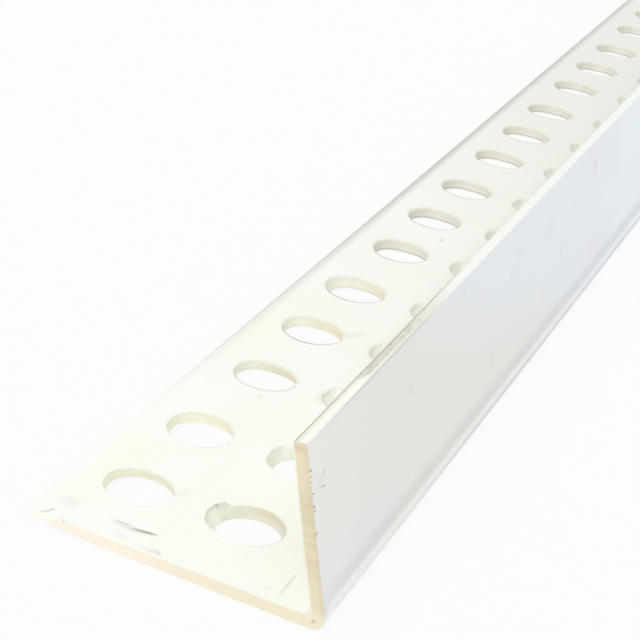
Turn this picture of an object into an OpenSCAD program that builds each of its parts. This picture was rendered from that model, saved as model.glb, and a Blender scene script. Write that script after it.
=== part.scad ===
// Perforated L-shaped edge trim, cut from long extruded PVC stock.
// The wide leg is the fixing flange and lies flat; it is punched with two rows of round holes.
// The narrow leg is the plain upstand, which stays visible as the finished edge.
// It closes a few degrees over the flange, so that it grips the board it finishes.
// X runs across the flange towards the upstand, Y along the trim and Z up the upstand.
// The origin is under the middle of the trim, in the plane it rests on.

/* [Length] */
// Length of the trim, as sold
length = 2500; // [300:10:3000]

/* [Section] */
// Overall width, from the free edge to the outside of the heel
flange_w = 30; // [28:0.5:60]
// Overall height, from the underside of the flange to the top of the upstand
upstand_h = 18; // [8:0.5:50]
// Angle between the flange and the upstand
leg_angle = 78; // [75:1:90]
// Thickness of the extruded wall
wall = 1.3; // [1:0.1:2.5]
// Radius of the rounded heel, where the two legs meet outside
heel_r = 1.3; // [0.3:0.1:2]
// Radius of the fillet where the two legs meet inside
fillet_r = 0.8; // [0.2:0.1:2.5]
// Radius of the softened arrises along the top of the upstand
arris_r = 0.25; // [0.1:0.05:0.45]

/* [Free edge] */
// Width of the slope that thins the flange from below
slope_w = 7; // [2:0.5:8]
// Thickness left at the rounded tip of the slope
tip_t = 0.75; // [0.3:0.05:0.9]

/* [Punching] */
// Diameter of the punched holes
hole_d = 6.3; // [4:0.1:7.5]
// Distance between neighbouring holes of one stroke of the press
hole_pitch = 11.85; // [9:0.01:20]
// Distance between the last hole of one stroke and the first of the next
stroke_gap = 13.35; // [9:0.01:24]
// Holes that one stroke punches in each row
stroke_holes = 3; // [2:1:6]
// Distance from the free edge to the centres of the outer row
outer_row = 6.8; // [5:0.1:8]
// Distance from the outside of the heel to the centres of the inner row
inner_row = 11.7; // [9:0.1:12]
// Least distance from either end of the trim to the centre of a hole
end_margin = 7; // [5:0.1:20]

/* [Hidden] */
// Chords in a quarter turn of the section's rounded corners
quarter_steps = 8;
// How far a punch reaches past both faces of the flange
punch_over = 1;
tip_x = -flange_w / 2;
heel_x = flange_w / 2;
lean = 90 - leg_angle;
row_x = [tip_x + outer_row, heel_x - inner_row];
stroke_length = (stroke_holes - 1) * hole_pitch + stroke_gap;

// Distance of a row's holes from the middle of the trim, counted outwards from 0.
// The press starts each stroke one gap after the last, and the cut may fall within a stroke.
function hole_y(i) =
    stroke_gap / 2 + floor(i / stroke_holes) * stroke_length + i % stroke_holes * hole_pitch;

half_row = [
    for (i = [0:ceil(length / hole_pitch / 2)])
        if (hole_y(i) <= length / 2 - end_margin) hole_y(i)
];

// Points of an arc in the section, from one angle to another, both in degrees.
// Between its ends they fall on whole steps, so that the overall sizes come out exact.
function arc(centre, r, from, to) =
    let (
        step = 90 / quarter_steps,
        low = min(from, to),
        high = max(from, to),
        between = [for (i = [floor(low / step) + 1:ceil(high / step) - 1]) i * step],
        angles = concat([low], between, [high]),
        last = len(angles) - 1
    )
    [for (i = [0:last])
        let (a = from < to ? angles[i] : angles[last - i])
        centre + r * [cos(a), sin(a)]];

// Angle at which a line from a point below touches the underside of a circle
function touch_angle(centre, r, point) =
    let (away = point - centre)
    atan2(away.y, away.x) - acos(r / norm(away));

// Outline of the section, counter-clockwise from the start of the slope
function section() =
    let (
        outward = [cos(lean), sin(lean)],
        along = [-sin(lean), cos(lean)],
        slope_foot = [tip_x + slope_w, 0],
        heel_centre = [heel_x - heel_r, heel_r],
        // Arris centres, down the two faces of the upstand from its top
        top_start = heel_centre + (heel_r - arris_r) * outward,
        top_outer = top_start + (upstand_h - arris_r - top_start.y) / along.y * along,
        top_inner = top_outer - (wall - 2 * arris_r) * outward,
        // The fillet touches the top of the flange and the inner face of the upstand
        fillet_y = wall + fillet_r,
        fillet_reach = (fillet_y - heel_r) * (1 + outward.y) / outward.x,
        fillet_centre = [heel_centre.x - fillet_reach, fillet_y],
        tip_r = tip_t / 2,
        tip_centre = [tip_x + tip_r, wall - tip_r],
        tip_end = touch_angle(tip_centre, tip_r, slope_foot)
    )
    concat(
        [slope_foot],
        arc(heel_centre, heel_r, -90, lean),
        arc(top_outer, arris_r, lean, 90 + lean),
        arc(top_inner, arris_r, 90 + lean, 180 + lean),
        arc(fillet_centre, fillet_r, lean, -90),
        arc(tip_centre, tip_r, 90, 360 + tip_end)
    );

// The extruded angle, before it is punched
module extrusion() {
    rotate([90, 0, 0])
        linear_extrude(height = length, center = true)
            polygon(section());
}

// One row of punches along the flange, alike on both sides of the middle
module punches() {
    for (end = [-1, 1])
        for (y = half_row)
            translate([0, end * y, -punch_over])
                cylinder(h = wall + 2 * punch_over, d = hole_d, $fn = 48);
}

module trim() {
    color("ivory")
        difference() {
            extrusion();
            for (x = row_x)
                translate([x, 0, 0])
                    punches();
        }
}

trim();
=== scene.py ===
"""Studio picture of a length of perforated PVC L-trim, lying on its flange on a white table."""
import math

import bpy
import numpy as np
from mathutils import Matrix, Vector


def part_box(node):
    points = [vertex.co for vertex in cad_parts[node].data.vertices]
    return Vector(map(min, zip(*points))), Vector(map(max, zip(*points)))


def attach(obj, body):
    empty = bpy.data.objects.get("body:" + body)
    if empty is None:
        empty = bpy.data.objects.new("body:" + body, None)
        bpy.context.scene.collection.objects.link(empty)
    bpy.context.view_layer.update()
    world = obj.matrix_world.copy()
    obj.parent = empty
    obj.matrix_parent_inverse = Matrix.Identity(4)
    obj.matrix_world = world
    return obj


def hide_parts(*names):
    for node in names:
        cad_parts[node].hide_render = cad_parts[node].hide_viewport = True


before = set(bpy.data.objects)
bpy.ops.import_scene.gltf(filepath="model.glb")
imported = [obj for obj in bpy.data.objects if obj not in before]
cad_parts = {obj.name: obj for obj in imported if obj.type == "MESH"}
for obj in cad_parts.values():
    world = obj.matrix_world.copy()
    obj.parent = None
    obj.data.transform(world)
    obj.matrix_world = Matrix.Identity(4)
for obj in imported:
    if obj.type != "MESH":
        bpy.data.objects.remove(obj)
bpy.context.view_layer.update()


# Camera. It stands low over the near end, on the outer side of the upstand,
# and looks along the trim with a long lens, so that the far end leaves the picture.
camera_data = bpy.data.cameras.new("camera")
camera_data.lens = 90.92
camera_data.sensor_width = 36.0
camera_data.clip_start = 0.005
camera_data.clip_end = 20.0
camera = bpy.data.objects.new("camera", camera_data)
camera.location = (0.052884, -1.351835, 0.088583)
camera.rotation_euler = (math.radians(61.543), math.radians(-5.936), math.radians(25.394))
bpy.context.collection.objects.link(camera)
bpy.context.scene.camera = camera
bpy.context.scene.view_settings.view_transform = "Standard"


# Table. A plain white sheet that the trim lies on, drawn a tenth of a millimetre lower.
# The camera sees it nearly shadowless, while the trim gets the light that a real sheet throws back.
table_half = 6.0
table_level = -0.0001


def table_material():
    """White sheet: a diffuse surface, which is seen as mostly flat white.

    Seen means by the camera, and in what mirrors or passes on its view.
    """
    mat = bpy.data.materials.new("white_table")
    mat.use_nodes = True
    nodes, links = mat.node_tree.nodes, mat.node_tree.links
    nodes.clear()
    out = nodes.new("ShaderNodeOutputMaterial")
    flat = nodes.new("ShaderNodeEmission")
    flat.inputs["Color"].default_value = (1.0, 1.0, 1.0, 1.0)
    flat.inputs["Strength"].default_value = 0.985
    real = nodes.new("ShaderNodeBsdfDiffuse")
    real.inputs["Color"].default_value = (0.86, 0.86, 0.86, 1.0)
    # A little of the real shading stays in what is seen, for the trim's soft shadow
    seen = nodes.new("ShaderNodeMixShader")
    seen.inputs["Fac"].default_value = 0.08
    links.new(flat.outputs[0], seen.inputs[1])
    links.new(real.outputs[0], seen.inputs[2])
    path = nodes.new("ShaderNodeLightPath")
    direct = path.outputs["Is Camera Ray"]
    for kind in ("Is Glossy Ray", "Is Transmission Ray"):
        either = nodes.new("ShaderNodeMath")
        either.operation = "MAXIMUM"
        links.new(direct, either.inputs[0])
        links.new(path.outputs[kind], either.inputs[1])
        direct = either.outputs[0]
    pick = nodes.new("ShaderNodeMixShader")
    links.new(direct, pick.inputs["Fac"])
    links.new(real.outputs[0], pick.inputs[1])
    links.new(seen.outputs[0], pick.inputs[2])
    links.new(pick.outputs[0], out.inputs["Surface"])
    return mat


table_corners = [
    (i * table_half, j * table_half, table_level) for i, j in ((-1, -1), (1, -1), (1, 1), (-1, 1))]
table_mesh = bpy.data.meshes.new("table")
table_mesh.from_pydata(table_corners, [], [(0, 1, 2, 3)])
table_mesh.materials.append(table_material())
table = bpy.data.objects.new("table", table_mesh)
bpy.context.collection.objects.link(table)


# Light. A bright white room and one broad soft lamp, high over the free edge and the near end,
# so that the flange and the sawn end are brighter than the upstand's outer side.
world = bpy.data.worlds.new("room")
world.use_nodes = True
room = world.node_tree.nodes["Background"]
room.inputs["Color"].default_value = (0.985, 0.99, 1.0, 1.0)
room.inputs["Strength"].default_value = 0.80
bpy.context.scene.world = world

lamp_data = bpy.data.lights.new("overhead", "SUN")
lamp_data.energy = 1.02
lamp_data.angle = math.radians(45)
lamp_data.color = (1.0, 0.995, 0.98)
lamp = bpy.data.objects.new("overhead", lamp_data)
lamp.rotation_euler = Vector((0.12, 0.60, -0.79)).to_track_quat("-Z", "Y").to_euler()
bpy.context.collection.objects.link(lamp)


# Trim. One length of rigid PVC angle, extruded as a closed L and punched in strokes of three holes,
# then cut square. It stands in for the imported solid, with drawn-in rims and torn edges at its holes.
width, length, height = (round(high - low, 6) for low, high in zip(*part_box("trim")))
wall, heel_r, fillet_r, arris_r = 0.0013, 0.0013, 0.0008, 0.00025
slope_w, tip_t = 0.007, 0.00075
lean = math.radians(12)
chamfer = 0.00004

# The outer row of holes is row 0, and the inner row is row 1
outer_row, inner_row = 0.0068, 0.0117
row_x = (outer_row - width / 2, width / 2 - inner_row)
hole_pitch, stroke_gap, stroke_holes, end_margin = 0.01185, 0.01335, 3, 0.007

# Each hole lies in a rectangular cell, between two of column_x and two of border_y. Beside the cells, from
# loft_x outwards, the section is lofted
column_x = (-0.0126, sum(row_x) / 2, 0.0082)
loft_x = (-0.0129, 0.0086)
cell_steps = 6
walk = np.arange(cell_steps + 1) / cell_steps

# Hole places, counted outwards from the middle of the trim, and the cells' borders halfway between them
stroke = (stroke_holes - 1) * hole_pitch + stroke_gap
order = np.arange(math.ceil(length / hole_pitch / 2))
half_row = stroke_gap / 2 + order // stroke_holes * stroke + order % stroke_holes * hole_pitch
half_row = half_row[half_row <= length / 2 - end_margin]
hole_y = np.concatenate([-half_row[::-1], half_row])
border_y = np.concatenate([
    [hole_y[0] - hole_pitch / 2], (hole_y[1:] + hole_y[:-1]) / 2, [hole_y[-1] + hole_pitch / 2]])
cells = len(hole_y)

# Upstand: its faces lean in from the heel, and its top has an arris on either side
outward = np.array([math.cos(lean), math.sin(lean)])
upward = np.array([-math.sin(lean), math.cos(lean)])
heel = np.array([width / 2 - heel_r, heel_r])
face_start = heel + (heel_r - arris_r) * outward
top_outer = face_start + (height - arris_r - face_start[1]) / upward[1] * upward
top_inner = top_outer - (wall - 2 * arris_r) * outward

# Free edge: a rounded tip, which the slope from below touches at slope_end, at the angle touch of its arc
tip_r = tip_t / 2
tip = np.array([-width / 2 + tip_r, wall - tip_r])
slope_start = np.array([-width / 2 + slope_w, 0.0])
away = slope_start - tip
touch = math.atan2(away[1], away[0]) - math.acos(tip_r / np.hypot(*away))
slope_end = tip + tip_r * np.array([math.cos(touch), math.sin(touch)])


def arc(centre, radius, start, end, steps):
    """Arc of the section in (x, z): centre + radius (cos a, sin a), with a from start to end in degrees."""
    a = np.radians(np.linspace(start, end, steps + 1))
    return centre + radius * np.stack([np.cos(a), np.sin(a)], 1)


def underside(x):
    """Height of the flange's underside at x: 0, and from slope_start on a straight line up to slope_end."""
    along = (slope_start[0] - x) / (slope_start[0] - slope_end[0])
    return np.where(x < slope_start[0], along * slope_end[1], 0.0)


def heel_side():
    """Section from the flange's top, over the leaning upstand, to the flange's underside.

    Its corners are arcs that touch the straight faces: the fillet, the inner and outer arris, and the heel.
    """
    fillet_reach = (wall + fillet_r - heel_r) * (1 + outward[1]) / outward[0]
    fillet = np.array([heel[0] - fillet_reach, wall + fillet_r])
    turned = math.degrees(lean)
    return np.concatenate([
        [(loft_x[1], wall)],
        arc(fillet, fillet_r, -90, turned, 6),
        arc(top_inner, arris_r, 180 + turned, 90 + turned, 5),
        arc(top_outer, arris_r, 90 + turned, turned, 5),
        arc(heel, heel_r, turned, -90, 9),
        [(loft_x[1], 0.0)]])


def tip_side():
    """Section from the flange's underside, along the slope and round the free edge's tip, to its top."""
    return np.concatenate([
        [(loft_x[0], float(underside(loft_x[0])))],
        arc(tip, tip_r, 360 + math.degrees(touch), 90, 12),
        [(loft_x[0], wall)]])


# What the press left. Rims are rounder away from the sawn end, and middling past the 200 mm that the
# picture shows well
from_end = hole_y + length / 2
rim_r = np.interp(from_end, (0.020, 0.066), (0.00012, 0.00034))
rim_r[from_end > 0.2] = 0.000197

# Beside each hole of the inner row it broke out a chip, towards the free edge
rng = np.random.default_rng(7)
chip_size = np.zeros((2, cells))
chip_size[1] = 0.0005 + 0.0004 * rng.random(cells)
chip_size[1, :2] = 0.00096, 0.00064

# Holes are slightly oval, and the first of the outer row lean. An oval is its shift across and along and
# its half sizes across and along, here in millimetres, at the rim and at the foot of the wall
rim_oval, foot_oval = np.empty((2, cells, 4)), np.empty((2, cells, 4))
rim_oval[0], foot_oval[0] = (0.05, -0.15, 3.38, 2.92), (0.15, -0.15, 3.35, 2.80)
rim_oval[1], foot_oval[1] = (0.0, -0.05, 3.35, 2.95), (-0.03, -0.15, 3.25, 2.78)
rim_oval[0, :6] = (
    (-0.09, -0.52, 3.46, 2.77), (-0.16, -0.37, 3.43, 2.95), (0.37, -0.39, 3.49, 2.76),
    (0.20, -0.15, 3.50, 2.85), (0.02, 0.15, 3.60, 2.95), (0.37, -0.08, 3.47, 2.92))
foot_oval[0, :6] = (
    (-0.07, -0.18, 3.36, 2.95), (0.14, -0.05, 3.50, 2.82), (0.52, 0.0, 3.50, 2.60),
    (0.38, 0.0, 3.40, 2.60), (0.45, 0.0, 3.30, 2.60), (0.80, -0.30, 3.50, 2.60))
rim_oval[0, 6:18], foot_oval[0, 6:18] = (0.3, -0.1, 3.45, 2.9), (0.6, -0.3, 3.4, 2.6)
rim_oval, foot_oval = rim_oval / 1000, foot_oval / 1000

# Rings from beside a hole down to its foot. A ring is its distance outside the rim, the degrees round the
# rim, the share of the way down the wall, its share of the chip, and how far it counts as wall.
# The cells that the picture shows well have finer ones
fine_cells = 18
fine_rings = (
    (0.00045, 0, 0, 0.8, 0), (0.00015, 0, 0, 0.95, 0), (0, 0, 0, 1, 0),
    (0, 30, 0, 1, 0.4), (0, 60, 0, 1, 1), (0, 90, 0, 1, 1),
    (0, 90, 0.5, 1, 1), (0, 90, 0.85, 1, 1), (0, 90, 1, 1, 1))
coarse_rings = ((0.0002, 0, 0, 1, 0), (0, 45, 0, 1, 1), (0, 90, 1, 1, 1))

# What each point of the mesh carries for the material: how far it is hole wall, its place across and along
# its hole and down the wall, how far it is chipped, and how near it is to the rim
wear_names = ("hole_wall", "hole_right", "hole_far", "hole_depth", "hole_chip", "hole_rim")
point_blocks, wear_blocks, faces = [], [], []


def add_points(block, wear=None):
    """Adds points, (..., 3), with what they carry, and returns their numbers in the same order."""
    known = sum(len(points) for points in point_blocks)
    size = block.size // 3
    point_blocks.append(block.reshape(-1, 3))
    wear_blocks.append(np.zeros((size, len(wear_names))) if wear is None else wear.reshape(size, -1))
    return known + np.arange(size).reshape(block.shape[:-1])


def add_quads(index):
    """Faces between neighbouring rows and columns of point numbers, (..., rows, columns)."""
    corners = (index[..., :-1, :-1], index[..., :-1, 1:], index[..., 1:, 1:], index[..., 1:, :-1])
    faces.extend(np.stack(corners, -1).reshape(-1, 4).tolist())


def closed(index):
    """Rows of point numbers that end where they start."""
    return np.concatenate([index, index[..., :1]], -1)


def smooth(value):
    """Smooth step from 0 to 1, v v (3 - 2 v), with v the value kept within 0 and 1."""
    value = np.clip(value, 0, 1)
    return value * value * (3 - 2 * value)


def hole_rings(row, chosen, rings, rays):
    """Points of the chosen holes' rings, and what they carry, both (holes, rings, rays, ...).

    Seen from its hole's place, the point at turn a lies at
        (1 - s) (rim oval + (c + d + r (1 - sin b) + u) (cos a, sin a)) + s foot oval,
    where an oval's point is shift + half size (cos a, sin a), c the chip, with ragged edges, d the distance
    outside the rim, r the rim's radius, b the degrees round it, u an unevenness of about 0.02 mm, and s
    the share of the way down the wall. Its height is the wall's, less r (1 - cos b), at s = 0, and the
    underside's at s = 1.
    """
    angle = np.radians(-135 + np.arange(rays) * 360 / rays)
    turn = np.degrees(np.mod(angle, 2 * math.pi))
    cos, sin = np.cos(angle), np.sin(angle)
    outside, bend, down, chip_share, wall_share = np.array(rings, float).T[:, None, :, None]
    bend = np.radians(bend)
    radius = rim_r[chosen][:, None, None]

    # The chip lies round turn 180, which points to the free edge: it is full from 152 to 192
    chip_ends = smooth((turn - 141) / 11) * (1 - smooth((turn - 192) / 58))
    ragged = 1 + 0.06 * rng.standard_normal((len(chosen), 1, rays))
    chip = chip_size[row, chosen][:, None, None] * ragged * chip_ends
    uneven = rng.standard_normal((len(chosen), 1, rays))
    uneven = 0.00001 * (np.roll(uneven, 1, 2) + 2 * uneven + np.roll(uneven, -1, 2))

    past_rim = outside + radius * (1 - np.sin(bend))
    reach = chip * chip_share + past_rim + uneven
    top, foot = (oval[row, chosen].T[:, :, None, None] for oval in (rim_oval, foot_oval))
    x = row_x[row] + (1 - down) * (top[0] + (top[2] + reach) * cos) + down * (foot[0] + foot[2] * cos)
    y = (1 - down) * (top[1] + (top[3] + reach) * sin) + down * (foot[1] + foot[3] * sin)
    y = y + hole_y[chosen][:, None, None]
    low = underside(x)
    z = low + (wall - low - radius * (1 - np.cos(bend))) * (1 - down)

    chipped = np.clip(chip / 0.0005, 0, 1) * wall_share
    near_rim = 1 - past_rim / (outside.max() + radius)
    carried = (wall_share, 0.5 + 0.5 * cos, 0.5 + 0.5 * sin, (wall - z) / (wall - low), chipped, near_rim)
    return np.stack([x, y, z], -1), np.stack(np.broadcast_arrays(*carried), -1)


def cell_borders(row, chosen, above):
    """Points round the chosen cells' rectangles, on the flange's top or underside.

    They walk anticlockwise, seen from above, from the corner at the near end and the free edge.
    """
    x0, x1 = column_x[row], column_x[row + 1]
    y0, y1 = border_y[chosen][:, None], border_y[chosen + 1][:, None]
    there = walk[:-1]
    x = np.concatenate([x0 + (x1 - x0) * there, x1 + 0 * there, x1 - (x1 - x0) * there, x0 + 0 * there])
    y = np.concatenate([y0 + 0 * there, y0 + (y1 - y0) * there, y1 + 0 * there, y1 - (y1 - y0) * there], 1)
    z = np.full(x.shape, wall) if above else underside(x)
    return np.stack(np.broadcast_arrays(x, y, z), -1)


def add_border_faces(border, ring, above):
    """Faces between a cell's border and a ring in it, which has one or more steps to each border step."""
    several = ring.shape[1] // border.shape[1]
    spans = [np.roll(ring, -step, 1)[:, ::several] for step in range(several, -1, -1)]
    block = np.stack([border, np.roll(border, -1, 1)] + spans, -1).reshape(-1, several + 3)
    faces.extend((block if above else block[:, ::-1]).tolist())


def loft(outline, stations):
    """Point numbers of an outline in (x, z), repeated at every station along the trim."""
    x, z = outline.T
    return add_points(np.stack(np.broadcast_arrays(x, np.array(stations)[:, None], z), -1))


def add_bridges(edge, beside, above):
    """One face beside each cell, from the points along the cell's side, at x = edge, to the loft's two."""
    y0, y1 = border_y[:-1, None], border_y[1:, None]
    x = np.array([edge] * len(walk) + [beside] * 2)
    y = np.concatenate([y0 + (y1 - y0) * walk, y1, y0], 1)
    z = np.full(x.shape, wall) if above else underside(x)
    number = add_points(np.stack(np.broadcast_arrays(x, y, z), -1))
    faces.extend((number if (edge < beside) != above else number[:, ::-1]).tolist())


def add_sawn_end(outline, end):
    """Plain strip from the last cells to the cut, end -1 or 1, and the cut itself with its fine chamfer.

    The cut's outline is the section's, less the chamfer along its outward normal.
    """
    tangent = np.roll(outline, -1, 0) - np.roll(outline, 1, 0)
    normal = np.stack([-tangent[:, 1], tangent[:, 0]], 1) / np.linalg.norm(tangent, axis=1)[:, None]
    stations = [end * (length / 2 - chamfer), border_y[0] if end < 0 else border_y[-1]]
    cut = loft(outline - chamfer * normal, [end * length / 2])
    strip = loft(outline, stations)
    if end < 0:
        add_quads(closed(np.concatenate([cut, strip])))
        faces.append(cut[0, ::-1].tolist())
    else:
        add_quads(closed(np.concatenate([cut, strip])[::-1]))
        faces.append(cut[0].tolist())


def welded_mesh():
    """Mesh of all faces, with the points that lie within a ten-thousandth of a millimetre made one."""
    points, wear = np.concatenate(point_blocks), np.concatenate(wear_blocks)
    rounded = np.round(points * 1e7).astype(np.int64)
    _, first, number = np.unique(rounded, axis=0, return_index=True, return_inverse=True)
    number = number.reshape(-1)
    mesh = bpy.data.meshes.new("pvc_trim")
    mesh.from_pydata(points[first].tolist(), [], [number[face].tolist() for face in faces])
    mesh.update()
    for name, value in zip(wear_names, wear[first].T):
        mesh.attributes.new(name, "FLOAT", "POINT").data.foreach_set("value", value.astype(np.float32))
    mesh.shade_smooth()
    mesh.set_sharp_from_angle(angle=math.radians(35))
    return mesh


# Punched cells of both rows
for row in (0, 1):
    for chosen, rings, several in (
            (np.arange(fine_cells), fine_rings, 2), (np.arange(fine_cells, cells), coarse_rings, 1)):
        inside = add_points(*hole_rings(row, chosen, rings, 4 * cell_steps * several))
        add_quads(closed(inside))
        for above, ring in ((True, inside[:, 0]), (False, inside[:, -1])):
            add_border_faces(add_points(cell_borders(row, chosen, above)), ring, above)

# The section beside them, and what joins it to them
for outline in (heel_side(), tip_side()):
    add_quads(loft(outline, border_y))
for edge, beside in ((column_x[0], loft_x[0]), (column_x[2], loft_x[1])):
    for above in (True, False):
        add_bridges(edge, beside, above)

# Both ends, with the whole section's outline, clockwise from the top of the free edge
flat_x = np.concatenate([
    column_x[0] + (column_x[1] - column_x[0]) * walk[:-1],
    column_x[1] + (column_x[2] - column_x[1]) * walk])
flange_top = np.stack([flat_x, np.full(flat_x.shape, wall)], 1)
flange_under = np.stack([flat_x, underside(flat_x)], 1)[::-1]
for end in (-1, 1):
    add_sawn_end(np.concatenate([flange_top, heel_side(), flange_under, tip_side()]), end)

trim = bpy.data.objects.new("trim_body", welded_mesh())
bpy.context.collection.objects.link(trim)

# The trim's one material: off-white rigid PVC, semi-gloss, with cream sawn ends and used surfaces
pvc = bpy.data.materials.new("pvc_off_white")
pvc.use_nodes = True
nodes, links = pvc.node_tree.nodes, pvc.node_tree.links
bsdf = nodes["Principled BSDF"]


def srgb(r, g, b):
    """Linear colour of a screen colour that is written from 0 to 255."""
    c = np.array([r, g, b]) / 255
    return (*np.where(c <= 0.04045, c / 12.92, ((c + 0.055) / 1.055) ** 2.4).tolist(), 1.0)


def put(socket, value):
    """Links a socket to another one, or sets it to a plain value."""
    if isinstance(value, bpy.types.NodeSocket):
        links.new(value, socket)
    else:
        socket.default_value = value


def calc(operation, a, b=0.0):
    """Sum, difference or other plain operation on two numbers."""
    node = nodes.new("ShaderNodeMath")
    node.operation = operation
    put(node.inputs[0], a)
    put(node.inputs[1], b)
    return node.outputs[0]


def times(first, *others):
    """Product of several numbers."""
    for other in others:
        first = calc("MULTIPLY", first, other)
    return first


def ramp(value, start, end, low=0.0, high=1.0):
    """Smooth step of value, from low at start to high at end."""
    node = nodes.new("ShaderNodeMapRange")
    node.interpolation_type = "SMOOTHSTEP"
    put(node.inputs["Value"], value)
    for name, number in (("From Min", start), ("From Max", end), ("To Min", low), ("To Max", high)):
        node.inputs[name].default_value = number
    return node.outputs["Result"]


def blend(factor, under, over, kind="RGBA"):
    """Colour under at factor 0, and over at factor 1."""
    node = nodes.new("ShaderNodeMix")
    node.data_type = kind
    for name, value in (("Factor", factor), ("A", under), ("B", over)):
        put(node.inputs[name], value)
    return node.outputs["Result"]


def blend_number(factor, under, over):
    """Number under at factor 0, and over at factor 1."""
    return blend(factor, under, over, "FLOAT")


def cloud(scale, detail=2.0, stretch=(1.0, 1.0, 1.0)):
    """Noise around 0.5, with scale in features a millimetre."""
    sized = nodes.new("ShaderNodeVectorMath")
    sized.operation = "MULTIPLY"
    links.new(place, sized.inputs[0])
    sized.inputs[1].default_value = stretch
    node = nodes.new("ShaderNodeTexNoise")
    node.inputs["Scale"].default_value = scale
    node.inputs["Detail"].default_value = detail
    links.new(sized.outputs[0], node.inputs["Vector"])
    return node.outputs["Fac"]


def dab(centre, half, turn, soft):
    """1 inside a turned ellipsoid, falling to 0 at its skin over the soft share of its size."""
    local = nodes.new("ShaderNodeMapping")
    local.vector_type = "TEXTURE"
    links.new(place, local.inputs["Vector"])
    local.inputs["Location"].default_value = centre
    local.inputs["Rotation"].default_value = [math.radians(t) for t in turn]
    local.inputs["Scale"].default_value = half
    size = nodes.new("ShaderNodeVectorMath")
    size.operation = "LENGTH"
    links.new(local.outputs[0], size.inputs[0])
    return ramp(size.outputs["Value"], 1.0, 1.0 - soft)


def own(name):
    """What the mesh's points carry under that name."""
    node = nodes.new("ShaderNodeAttribute")
    node.attribute_name = name
    return node.outputs["Fac"]


# Places in millimetres: x and z as in the trim's frame, and y from the near end. At the upstand, through
# runs from inner_face to outer_face, and rise runs up it to top_end
half_mm = 500 * length
free_edge = -500 * width
outer_face = round(1000 * float(heel @ outward + heel_r), 2)
inner_face = outer_face - 1000 * wall
top_end = round(1000 * float(top_outer @ upward + arris_r), 2)
coords = nodes.new("ShaderNodeTexCoord")
millimetres = nodes.new("ShaderNodeVectorMath")
millimetres.operation = "MULTIPLY_ADD"
links.new(coords.outputs["Object"], millimetres.inputs[0])
millimetres.inputs[1].default_value = (1000.0, 1000.0, 1000.0)
millimetres.inputs[2].default_value = (0.0, half_mm, 0.0)
place = millimetres.outputs[0]
parts = nodes.new("ShaderNodeSeparateXYZ")
links.new(place, parts.inputs[0])
x, y, z = parts.outputs
through = calc("ADD", times(x, math.cos(lean)), times(z, math.sin(lean)))
rise = calc("SUBTRACT", times(z, math.cos(lean)), times(x, math.sin(lean)))

# Places in a hole, from 0 to 1, and which holes are meant: those of the inner row, and those from the
# second, from the third and from about the sixth on
right, far, depth, rim = own("hole_right"), own("hole_far"), own("hole_depth"), own("hole_rim")
inner = ramp(x, -2.0, -1.0)
second = ramp(y, 13.0, 16.0)
later = ramp(y, 26.0, 36.0)
furthest = ramp(y, 50.0, 80.0)

patches = ramp(cloud(0.045, 3.0), 0.35, 0.68)
sawn = ramp(calc("ABSOLUTE", calc("SUBTRACT", y, half_mm)), half_mm - 0.07, half_mm - 0.025)


def plain_skin():
    """Greenish off-white in faint patches, a little greyer away from the near end.

    At the foot of the upstand the flange has painted shade: faint at first, then olive.
    """
    skin = blend(patches, srgb(246, 249, 239), srgb(250, 251, 246))
    yellowed = ramp(cloud(0.08, 2.0, (1.0, 0.7, 1.0)), 0.50, 0.72)
    skin = blend(times(yellowed, 0.6), skin, srgb(249, 249, 232))
    skin = blend(ramp(y, 40.0, 175.0), skin, srgb(234, 237, 230))
    # Painted shade of the upstand on the flange beside it, olive from about 18 mm from the end on
    olive = times(ramp(x, -1.5, 4.0), ramp(y, 18.0, 60.0))
    skin = blend(times(olive, 0.9), skin, srgb(213, 215, 201))
    # Fainter painted shade of the upstand on the flange nearer the end
    faint_upstand_shade = times(ramp(x, 2.0, 8.0), ramp(y, 2.0, 9.0), ramp(y, 60.0, 30.0))
    return blend(times(faint_upstand_shade, 0.4), skin, srgb(238, 239, 226))


def greyed_tip(skin):
    """Free edge: greyed along its rounded tip, more so away from the near end, with a dark line outside."""
    greyed = times(ramp(x, free_edge + 1.7, free_edge + 0.2), ramp(y, 10.0, 105.0))
    skin = blend(greyed, skin, srgb(199, 198, 193))
    dark_line = times(ramp(x, free_edge + 0.36, free_edge + 0.14), ramp(y, 8.0, 60.0))
    return blend(dark_line, skin, srgb(158, 143, 137))


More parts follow.
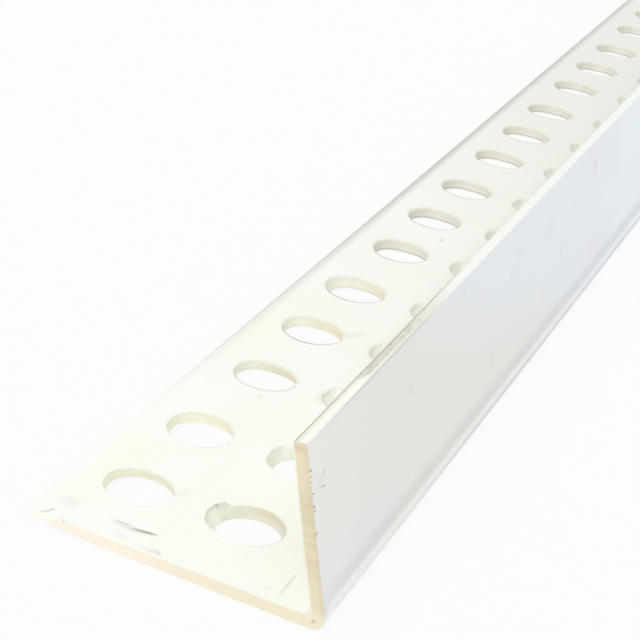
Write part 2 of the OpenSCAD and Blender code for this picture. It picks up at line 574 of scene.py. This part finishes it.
def outer_side(skin):
    """Outer side of the upstand: greenish white near the end, and bluish beyond a slanting border, which
    is a painted reflection.

    It has violet and green clouds, a grey line of painted shade with a line of painted highlight under it
    above the heel, a heel with painted shade from below and a thin painted contact shadow at its foot, and
    a brownish stain at the top near the end.
    """
    slanting = calc("ADD", y, times(z, 2.4))
    # Painted reflection: the outer side turns bluish further from the end, where it is seen more slantwise
    bluish_reflection = ramp(calc("ADD", slanting, times(cloud(0.10, 2.0), 16.0)), 66.0, 92.0)
    face = blend(ramp(y, 3.0, 14.0), srgb(243, 243, 238), srgb(238, 239, 233))
    face = blend(bluish_reflection, face, blend(ramp(y, 72.0, 96.0), srgb(239, 243, 248), srgb(240, 249, 253)))
    face = blend(ramp(calc("ADD", y, times(z, 5.0)), 165.0, 250.0), face, srgb(248, 255, 255))
    violet = ramp(cloud(0.12, 3.0, (1.0, 0.3, 1.0)), 0.46, 0.66)
    violet = times(violet, blend_number(bluish_reflection, 0.25, 0.6), ramp(y, 95.0, 70.0, 0.3, 1.0))
    face = blend(violet, face, srgb(240, 236, 245))
    green = ramp(cloud(0.15, 3.0, (1.0, 0.4, 1.2)), 0.54, 0.72)
    face = blend(times(green, 0.25), face, srgb(236, 242, 230))
    # Painted shade in a grey line above the heel, and a painted highlight under it
    painted_shade_line = times(ramp(z, 2.2, 2.8), ramp(z, 4.4, 3.2), ramp(y, -6.0, 16.0, 0.3, 0.9))
    face = blend(painted_shade_line, face, blend(bluish_reflection, srgb(226, 227, 222), srgb(224, 227, 233)))
    painted_highlight_line = times(ramp(z, 2.5, 2.0), 0.9)
    face = blend(painted_highlight_line, face, blend(bluish_reflection, srgb(252, 252, 248), srgb(246, 250, 255)))
    # Painted shade on the heel's rounding, which turns down towards the table
    face = blend(times(ramp(z, 1.95, 1.00), ramp(y, 8.0, 42.0)), face, srgb(214, 216, 214))
    # A thin painted contact shadow along the heel's lowest edge
    face = blend(times(ramp(z, 1.08, 0.88), ramp(y, 3.0, 14.0)), face, srgb(194, 194, 191))
    stain = times(ramp(rise, top_end - 1.07, top_end - 0.17), ramp(y, 1.0, 5.0), ramp(y, 26.0, 12.0))
    face = blend(times(stain, 0.45), face, srgb(238, 229, 216))
    outside = ramp(through, outer_face - 0.27, outer_face - 0.07)
    below_top = ramp(rise, top_end - 0.01, top_end - 0.22)
    return blend(times(outside, below_top), skin, face)


def upstand_top(skin):
    """Top of the upstand: an outer half that is lighter, a painted highlight along its rounded arris, and a
    cream inner one, which is dirty olive for a stretch.

    A dark line runs along its inner arris near the end, and a paler one along its outer arris.
    """
    blotches = ramp(cloud(0.9, 3.0), 0.38, 0.66)
    olive = blend(blotches, srgb(208, 205, 188), srgb(221, 220, 206))
    olive = blend(ramp(cloud(2.4, 2.0), 0.60, 0.68), olive, srgb(184, 178, 160))
    dull, plain = ramp(y, 11.6, 13.6), ramp(y, 26.0, 35.0)
    dirty = times(dull, ramp(calc("ADD", y, times(blotches, 4.0)), 29.0, 25.0))
    inner_half = blend(dull, srgb(238, 236, 224), srgb(228, 227, 213))
    inner_half = blend(plain, inner_half, srgb(245, 246, 239))
    inner_half = blend(dirty, inner_half, olive)
    dulled = blend(ramp(y, 15.0, 21.0), srgb(240, 239, 228), srgb(230, 229, 217))
    # The outer half is lighter: a painted highlight along the rounded outer arris
    highlit_outer_half = blend(dull, srgb(251, 249, 240), dulled)
    highlit_outer_half = blend(plain, highlit_outer_half, srgb(247, 247, 241))
    middle = (inner_face + outer_face) / 2
    halfway = ramp(calc("SUBTRACT", through, times(dull, 0.34)), middle - 0.06, middle + 0.06)
    on_top = ramp(rise, top_end - 0.25, top_end - 0.05)
    skin = blend(on_top, skin, blend(halfway, inner_half, highlit_outer_half))
    inner_line = times(ramp(through, inner_face + 0.33, inner_face + 0.23), ramp(y, 46.0, 28.0))
    inner_line = times(inner_line, ramp(rise, top_end - 0.32, top_end - 0.22))
    skin = blend(times(inner_line, 0.9), skin, srgb(160, 151, 135))
    outer_line = times(ramp(y, 5.0, 9.0), ramp(y, 30.0, 24.0))
    outer_line = times(outer_line, ramp(through, outer_face - 0.05, outer_face - 0.01))
    outer_line = times(outer_line, ramp(rise, top_end - 0.29, top_end - 0.24))
    return blend(times(outer_line, 0.8), skin, srgb(206, 203, 190))


def hole_walls(skin):
    """Hole walls, brownest at the right, with painted shade on the flange beyond them.

    In the first holes of the outer row they have painted shade under the rim and a lighter, yellowish
    painted highlight at the foot. In the later ones the tone fades in from the rim down, and a thin dark
    line of painted shadow runs round the far side's foot.
    """
    # Painted shade on the flange just beyond the far rim, where it rounds over into the hole
    painted_rim_shade = blend(right, srgb(231, 234, 219), srgb(242, 238, 223))
    painted_rim_shade = blend(later, painted_rim_shade, srgb(230, 229, 213))
    beyond = times(ramp(far, 0.45, 0.65), ramp(rim, 0.15, 0.9), blend_number(later, 0.7, 0.6))
    skin = blend(beyond, skin, painted_rim_shade)

    yellow = blend(ramp(right, 0.10, 0.45), srgb(254, 254, 233), srgb(246, 243, 219))
    yellow = blend(ramp(right, 0.60, 0.95), yellow, srgb(240, 228, 207))
    # Painted shade under the rim of the outer row's first holes
    yellow = blend(ramp(depth, 0.18, 0.04), yellow, srgb(232, 230, 208))
    # A lighter, yellowish painted highlight at the foot of their walls
    foot = blend(ramp(right, 0.45, 0.95), srgb(255, 252, 232), srgb(252, 240, 220))
    yellow = blend(ramp(depth, 0.45, 0.95), yellow, foot)
    brown = blend(ramp(depth, 0.35, 0.75), srgb(221, 213, 188), srgb(231, 225, 210))
    left = blend(second, srgb(232, 232, 216), srgb(243, 244, 232))
    brown = blend(ramp(right, 0.15, 0.60), left, brown)
    first = blend(inner, yellow, brown)

    grey = blend(ramp(right, 0.10, 0.45), srgb(250, 250, 235), srgb(236, 232, 209))
    grey = blend(ramp(right, 0.60, 0.95), grey, srgb(242, 224, 193))
    grey = blend(ramp(y, 50.0, 75.0), grey, srgb(226, 223, 211))
    # Painted shadow: a thin dark line round the far side's foot in the outer row's later holes
    foot_shadow_line = times(ramp(depth, 0.84, 0.96), ramp(far, 0.45, 0.60), ramp(y, 40.0, 84.0))
    grey = blend(times(foot_shadow_line, 0.85), grey, srgb(178, 170, 156))
    pale = blend(furthest, srgb(250, 252, 241), srgb(241, 242, 232))

    tone = blend(later, first, blend(inner, grey, pale))
    return blend(times(own("hole_wall"), blend_number(later, 1.0, ramp(depth, 0.0, 0.4))), skin, tone)


def torn_chips(colour):
    """Chips broken out by the punch: dull olive with a darker edge at the first hole, paler further on."""
    torn = blend(ramp(cloud(0.8, 2.0), 0.40, 0.66), srgb(236, 236, 222), srgb(225, 225, 208))
    torn = blend(ramp(far, 0.50, 0.70), srgb(249, 251, 238), torn)
    torn = blend(times(ramp(depth, 0.22, 0.08), 0.7), torn, srgb(220, 222, 206))
    torn = blend(second, torn, srgb(243, 245, 233))
    pale = blend(ramp(depth, 0.10, 0.30), srgb(242, 244, 232), srgb(250, 252, 241))
    pale = blend(furthest, pale, srgb(241, 242, 232))
    return blend(ramp(own("hole_chip"), 0.15, 0.9), colour, blend(later, torn, pale))


def near_rims(colour):
    """Near side of the rims: a cream line round the first holes, browner to the right.

    Round the later holes of the outer row it is a dark line of painted shadow with a grey band of painted
    shade, and both of these thin out to the left and right.
    """
    sideways = calc("SUBTRACT", times(right, 2.0), 1.0)
    narrowed = calc("SUBTRACT", rim, times(sideways, sideways, blend_number(right, 0.46, 0.20)))
    near_side = times(ramp(far, 0.54, 0.44), ramp(calc("ADD", depth, times(far, 0.35)), 0.26, 0.14))
    outer_only = blend_number(inner, 1.0, 0.1)
    # Round the later holes of the outer row: a grey band of painted shade beside the near rim
    painted_rim_shade = times(near_side, ramp(narrowed, 0.15, 0.55), later, 0.45, outer_only)
    colour = blend(painted_rim_shade, colour, srgb(214, 214, 204))
    browned = times(ramp(right, 0.45, 0.85), blend_number(inner, ramp(y, 6.0, 24.0), 1.0))
    tone = blend(browned, srgb(253, 250, 235), srgb(216, 204, 186))
    # Round the later holes the near rim's line is dark: painted shadow
    tone = blend(later, tone, srgb(180, 174, 162))
    line = blend_number(later, ramp(rim, 0.66, 0.84), times(ramp(narrowed, 0.42, 0.56), outer_only))
    return blend(times(near_side, line), colour, tone)


def sawn_ends(colour):
    """Sawn ends: cream with faint saw bands, painted lighter towards the free edge and darker towards the
    upstand, and browner up the upstand, partly their own tone and partly painted shade, and towards its
    outer side.

    The upstand's inner edge stays bright.
    """
    # Painted light and shade: the cut is lighter towards the free edge and darker towards the upstand
    cream = blend(ramp(x, free_edge + 0.6, free_edge + 4.5), srgb(254, 251, 241), srgb(249, 240, 224))
    cream = blend(ramp(x, -10.0, 11.0), cream, srgb(239, 230, 204))
    within = ramp(through, inner_face + 0.07, inner_face + 0.21)
    # Up the upstand the cut is browner, partly its own tone and partly painted shade
    upright = blend(within, srgb(248, 243, 228), srgb(230, 218, 189))
    upright = blend(ramp(through, outer_face - 0.67, outer_face - 0.07), upright, srgb(223, 210, 180))
    half_up = times(ramp(z, 15.0, 12.0), ramp(z, 3.0, 8.0), 0.30)
    upright = blend(half_up, upright, srgb(200, 184, 146))
    cream = blend(ramp(z, 1.0, 2.6), cream, upright)
    bands = ramp(cloud(1.0, 2.0, (0.12, 1.0, 1.6)), 0.45, 0.72)
    cream = blend(times(bands, 0.3), cream, srgb(244, 232, 204))
    return blend(sawn, colour, cream)


def mark(colour, marks, *broken_by):
    """The colour with single marks dabbed on it, broken up by a grain where one is given."""
    for centre, half, turn, soft, tone, strength in marks:
        colour = blend(times(dab(centre, half, turn, soft), strength, *broken_by), colour, srgb(*tone))
    return colour


# Single marks, each with its centre, half sizes, turn in degrees, softness, colour and strength.
# On the flange: dark scratches and their scuffs near the end, rubbed spots by the free edge, dull spots,
# and painted shade in the dents beside the inner row's third and fourth holes
flange_marks = (
    ((-4.3, 2.6, 1.3), (1.7, 0.25, 0.4), (0, 0, 9), 0.6, (120, 126, 114), 0.8),
    ((-6.5, 2.7, 1.3), (1.7, 0.3, 0.4), (0, 0, 3), 0.95, (170, 176, 164), 0.45),
    ((-5.2, 2.4, 1.3), (3.1, 0.5, 0.4), (0, 0, 2), 0.95, (206, 211, 198), 0.5),
    ((-13.0, 0.9, 1.3), (0.5, 0.2, 0.4), (0, 0, 61), 0.8, (176, 178, 168), 0.6),
    ((-13.3, 0.4, 1.3), (0.8, 0.3, 0.4), (0, 0, 51), 0.9, (206, 208, 199), 0.6),
    ((-11.2, 0.05, 1.3), (0.35, 0.1, 0.4), (0, 0, 0), 0.8, (176, 164, 150), 0.5),
    ((-11.5, 0.26, 1.3), (0.25, 0.1, 0.4), (0, 0, 0), 0.8, (196, 188, 180), 0.4),
    ((-12.3, 2.9, 1.3), (1.7, 1.3, 0.4), (0, 0, 15), 0.95, (230, 232, 223), 0.5),
    ((10.1, 2.9, 1.3), (3.0, 0.28, 0.4), (0, 0, 91), 0.85, (210, 216, 204), 0.6),
    ((8.8, 1.57, 1.3), (0.52, 0.28, 0.4), (0, 0, 5), 0.9, (222, 227, 214), 0.6),
    ((-4.9, 9.19, 1.3), (0.5, 0.3, 0.4), (0, 0, 30), 0.95, (214, 216, 202), 0.5),
    ((-4.3, 9.9, 1.3), (1.6, 0.8, 0.4), (0, 0, 30), 0.95, (232, 234, 222), 0.35),
    ((-6.3, 29.3, 1.3), (0.6, 0.9, 0.4), (0, 0, 0), 0.95, (226, 228, 214), 0.6),
    ((-3.6, 47.4, 1.3), (0.9, 2.4, 0.4), (0, 0, -34), 0.95, (228, 230, 214), 0.6),
    ((-4.7, 77.1, 1.3), (0.4, 0.9, 0.4), (0, 0, 0), 0.9, (204, 207, 194), 0.6),
    # Painted shade in the dents beside the inner row's third and fourth holes
    ((-0.6, 33.4, 1.3), (1.3, 2.0, 0.4), (0, 0, 0), 0.9, (218, 222, 206), 0.7),
    ((-0.2, 45.3, 1.3), (1.2, 2.2, 0.4), (0, 0, 0), 0.9, (214, 217, 202), 0.7),
)
# On the flange near the end: two scuffs that a grain breaks up
grained_marks = (
    ((-2.0, 0.6, 1.3), (1.6, 0.55, 0.4), (0, 0, -1), 0.9, (196, 201, 188), 0.55),
    ((-5.5, 0.91, 1.3), (0.75, 0.28, 0.4), (0, 0, -3), 0.9, (204, 208, 196), 0.6),
)
# Dark corners and the dull edge of the inner row's first chip
chip_marks = (
    ((-0.7, 9.99, 1.3), (0.5, 0.2, 0.8), (0, 0, 0), 0.95, (160, 164, 148), 0.6),
    ((-0.0, 8.81, 1.3), (0.55, 0.22, 0.8), (0, 0, 0), 0.9, (170, 174, 156), 0.6),
    ((0.05, 7.6, 1.3), (0.35, 0.8, 0.8), (0, 0, 0), 0.9, (196, 200, 184), 0.6),
)
# On the upstand's outer side: a nick and its scuffs near the end, then dull spots
upstand_marks = (
    ((12.5, 2.1, 13.07), (0.4, 0.62, 0.09), (-14, 0, 0), 0.6, (110, 111, 108), 0.7),
    ((12.3, 2.6, 14.2), (0.4, 0.4, 0.55), (0, 0, 0), 0.9, (206, 208, 205), 0.7),
    ((12.4, 1.9, 13.7), (0.4, 1.3, 1.3), (0, 0, 0), 1.0, (228, 230, 226), 0.5),
    ((13.39, 4.54, 8.99), (0.3, 0.18, 0.12), (0, 0, 0), 0.8, (160, 156, 150), 0.5),
    ((12.6, 21.1, 12.9), (0.5, 0.8, 1.0), (10, 0, 0), 0.95, (222, 222, 219), 0.6),
    ((13.9, 42.4, 6.5), (0.5, 0.5, 1.3), (0, 0, 0), 0.95, (220, 221, 217), 0.6),
    ((12.1, 80.6, 15.1), (0.6, 1.4, 0.9), (0, 0, 0), 0.9, (214, 217, 221), 0.6),
    ((12.3, 41.0, 14.1), (0.6, 2.2, 1.3), (0, 0, 0), 0.9, (226, 220, 226), 0.25),
    ((12.5, 50.5, 13.0), (0.6, 2.4, 1.0), (0, 0, 0), 0.9, (226, 221, 228), 0.25),
    ((12.2, 52.4, 14.5), (0.6, 2.4, 0.9), (0, 0, 0), 0.9, (224, 219, 228), 0.25),
    ((12.4, 62.3, 13.7), (0.6, 3.0, 1.2), (0, 0, 0), 0.9, (226, 222, 232), 0.25),
    ((11.8, 35.0, 16.6), (0.6, 1.8, 0.7), (0, 0, 0), 0.9, (224, 218, 224), 0.25),
    ((13.8, 59.0, 7.2), (0.5, 0.8, 2.4), (0, 0, 0), 0.9, (228, 222, 216), 0.35),
    ((13.2, 66.4, 9.9), (0.5, 0.4, 2.6), (0, 0, 0), 0.9, (218, 219, 219), 0.35),
)
# Dirt along the cut: specks where it meets the outer side, and brown spots at the heel and the top
cut_marks = (
    ((12.01, 0.22, 15.49), (0.3, 0.21, 0.14), (0, 0, 0), 0.6, (92, 84, 72), 0.9),
    ((12.13, 0.2, 14.92), (0.3, 0.18, 0.09), (0, 0, 0), 0.6, (120, 110, 94), 0.8),
    ((12.24, 0.2, 14.41), (0.3, 0.18, 0.09), (0, 0, 0), 0.6, (120, 110, 94), 0.8),
    ((12.47, 0.27, 13.34), (0.3, 0.2, 0.11), (0, 0, 0), 0.6, (104, 96, 82), 0.9),
    ((12.55, 0.27, 12.96), (0.3, 0.17, 0.08), (0, 0, 0), 0.6, (128, 118, 102), 0.7),
    ((12.72, 0.22, 12.18), (0.3, 0.21, 0.14), (0, 0, 0), 0.6, (86, 78, 66), 0.9),
    ((12.8, 0.24, 11.81), (0.3, 0.19, 0.11), (0, 0, 0), 0.6, (100, 92, 78), 0.9),
    ((13.24, 0.2, 9.71), (0.3, 0.34, 0.22), (0, 0, 0), 0.8, (176, 158, 128), 0.7),
    ((12.3, 0.0, 12.1), (0.5, 0.05, 0.07), (0, 0, 0), 0.8, (196, 178, 146), 0.6),
    ((14.0, 0.1, 0.94), (0.5, 0.4, 0.35), (0, -40, 0), 0.95, (200, 184, 164), 0.8),
    ((14.9, 0.3, 2.1), (0.4, 0.6, 0.7), (0, 0, 0), 0.95, (214, 208, 200), 0.6),
    ((10.8, 0.0, 17.4), (0.95, 0.4, 0.5), (0, 0, 0), 0.95, (216, 196, 160), 0.8),
)

colour = plain_skin()
for layer in (greyed_tip, outer_side, upstand_top, hole_walls, torn_chips, near_rims, sawn_ends):
    colour = layer(colour)
grain = ramp(cloud(3.0, 3.0), 0.38, 0.58)
colour = mark(colour, flange_marks)
colour = mark(colour, grained_marks, grain)
colour = mark(colour, chip_marks + upstand_marks + cut_marks)
put(bsdf.inputs["Base Color"], colour)

# Semi-gloss skin, duller in patches, with faint lines from the die along the trim. The sawn ends are
# dull and ridged
put(bsdf.inputs["Roughness"], blend_number(sawn, blend_number(patches, 0.37, 0.29), 0.62))
die_lines = cloud(2.4, 2.0, (1.0, 0.004, 1.0))
saw_ridges = cloud(3.0, 2.0, (0.08, 1.0, 1.0))
relief = nodes.new("ShaderNodeBump")
relief.inputs["Strength"].default_value = 0.5
relief.inputs["Distance"].default_value = 0.00003
links.new(blend_number(sawn, die_lines, saw_ridges), relief.inputs["Height"])
links.new(relief.outputs[0], bsdf.inputs["Normal"])
bsdf.inputs["IOR"].default_value = 1.53

trim.data.materials.append(pvc)
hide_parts("trim")
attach(trim, "root")
